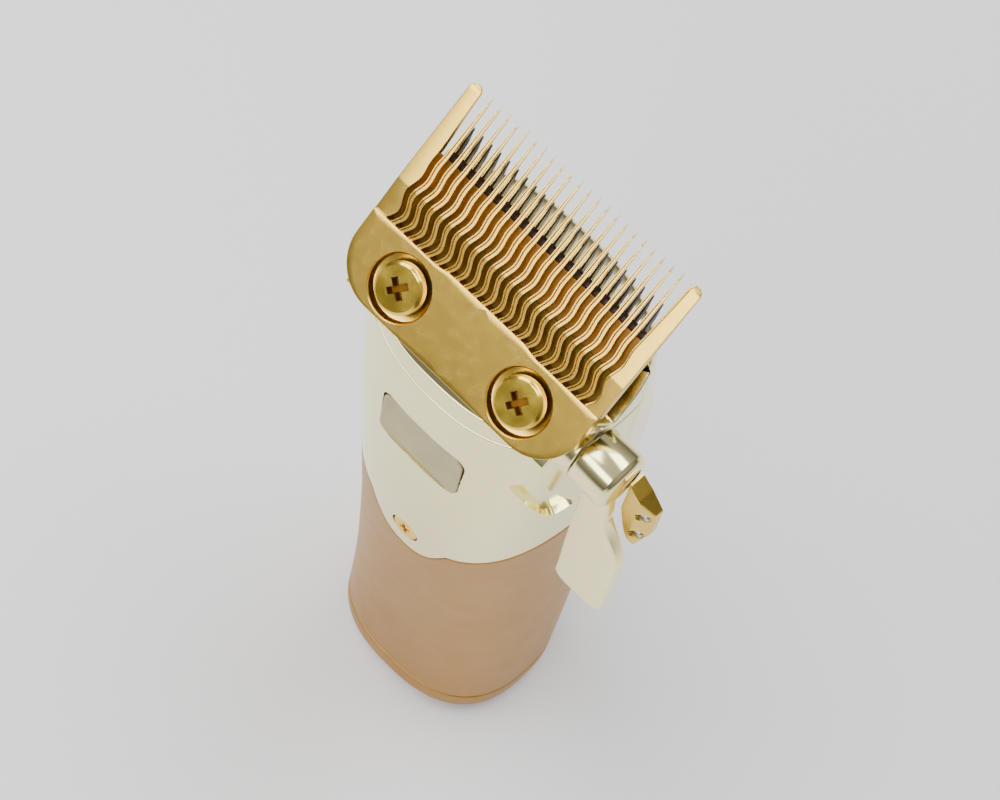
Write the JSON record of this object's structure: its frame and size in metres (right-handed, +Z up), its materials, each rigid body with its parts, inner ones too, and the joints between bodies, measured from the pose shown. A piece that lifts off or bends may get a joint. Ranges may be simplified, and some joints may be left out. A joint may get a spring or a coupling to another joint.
{
  "type": "hair clipper",
  "caption": "Cordless hair clipper standing on its base, with a fine toothed blade set at a slant, a moving cutter and a taper lever on one side.",
  "frame": {"origin": "middle of the flat underside of the base, on the surface that the clipper stands on", "axes": "+Z up the body towards the teeth, -Y towards the blade's screw side, +X towards the taper lever"},
  "size_m": [0.0598, 0.0477, 0.1679],
  "materials": {
    "blade_gold": "satin gold coating on ground steel, with bright edges on the teeth",
    "screw_gold": "bright yellow gold plating",
    "polished_champagne": "polished pale champagne gold plating",
    "copper_satin": "matte rose copper",
    "bare_steel": "ground steel",
    "cutter_black": "hard black coating on ground steel",
    "black_plastic": "fine moulded grain",
    "rating_panel": "dull olive grey, left blank",
    "board_green": "solder mask",
    "cell_wrap": "shrink wrap",
    "lens_clear": "clear moulded lens",
    "lead_red": "wire insulation",
    "lead_black": "wire insulation"
  },
  "bodies": {
    "housing": {"fixed_blade": "blade_gold", "blade_screw_left": "screw_gold", "blade_screw_right": "screw_gold", "guide_rail_left": "black_plastic", "guide_rail_right": "black_plastic", "detent_spring": "bare_steel", "head_frame": "polished_champagne", "front_housing": "polished_champagne", "rear_housing": "polished_champagne", "grip_body": "copper_satin", "base_cap": "copper_satin", "rating_plate": "rating_panel", "shaft_bushing": "screw_gold", "motor": "bare_steel", "motor_mount": "black_plastic", "battery_cell": "cell_wrap", "battery_tray": "black_plastic", "battery_contact_lower": "bare_steel", "battery_contact_upper": "bare_steel", "circuit_board": "board_green", "switch_body": "black_plastic", "switch_bezel": "black_plastic", "status_lamp": "lens_clear", "status_lens": "lens_clear", "charging_socket": "black_plastic", "socket_pin": "bare_steel", "motor_lead_left": "lead_black", "motor_lead_right": "lead_red", "housing_screw": "screw_gold", "rear_screw_left": "screw_gold", "rear_screw_right": "screw_gold", "base_screw_left": "bare_steel", "base_screw_right": "bare_steel", "motor_screw_left": "bare_steel", "motor_screw_right": "bare_steel"},
    "lever": {"taper_lever": "polished_champagne", "lever_tab": "blade_gold", "tab_screw_upper": "bare_steel", "tab_screw_lower": "bare_steel", "lever_shaft": "bare_steel"},
    "depth_carriage": {"depth_slider": "bare_steel", "yoke_spring_left": "bare_steel", "yoke_spring_right": "bare_steel"},
    "cutter": {"cutter_blade": "cutter_black", "cutter_yoke": "black_plastic", "cutter_rivet_left": "bare_steel", "cutter_rivet_right": "bare_steel"},
    "drive": {"motor_shaft": "bare_steel", "drive_cam": "black_plastic"},
    "power_switch": {"power_switch": "polished_champagne"}
  },
  "joints": [
    {"name": "lever_swing", "type": "hinge", "parent": "housing", "child": "lever", "pos_m": [0.027, -0.0175, 0.1395], "axis": [-1, 0, 0], "range_deg": [0, 50]},
    {"name": "cutter_depth", "type": "slide", "parent": "housing", "child": "depth_carriage", "axis": [0, 0.682, 0.7314], "range_m": [0, 0.0018]},
    {"name": "cutter_stroke", "type": "slide", "parent": "depth_carriage", "child": "cutter", "axis": [1, 0, 0], "range_m": [-0.0012, 0.0012]},
    {"name": "motor_spin", "type": "hinge", "parent": "housing", "child": "drive", "pos_m": [0, -0.003, 0.128], "axis": [0, 0, 1], "continuous": true},
    {"name": "switch_slide", "type": "slide", "parent": "housing", "child": "power_switch", "axis": [0, 0, 1], "range_m": [0, 0.004]}
  ],
  "couplings": [
    {"joint": "lever_swing", "follows": "cutter_depth", "rad_per_m": 484.81}
  ]
}
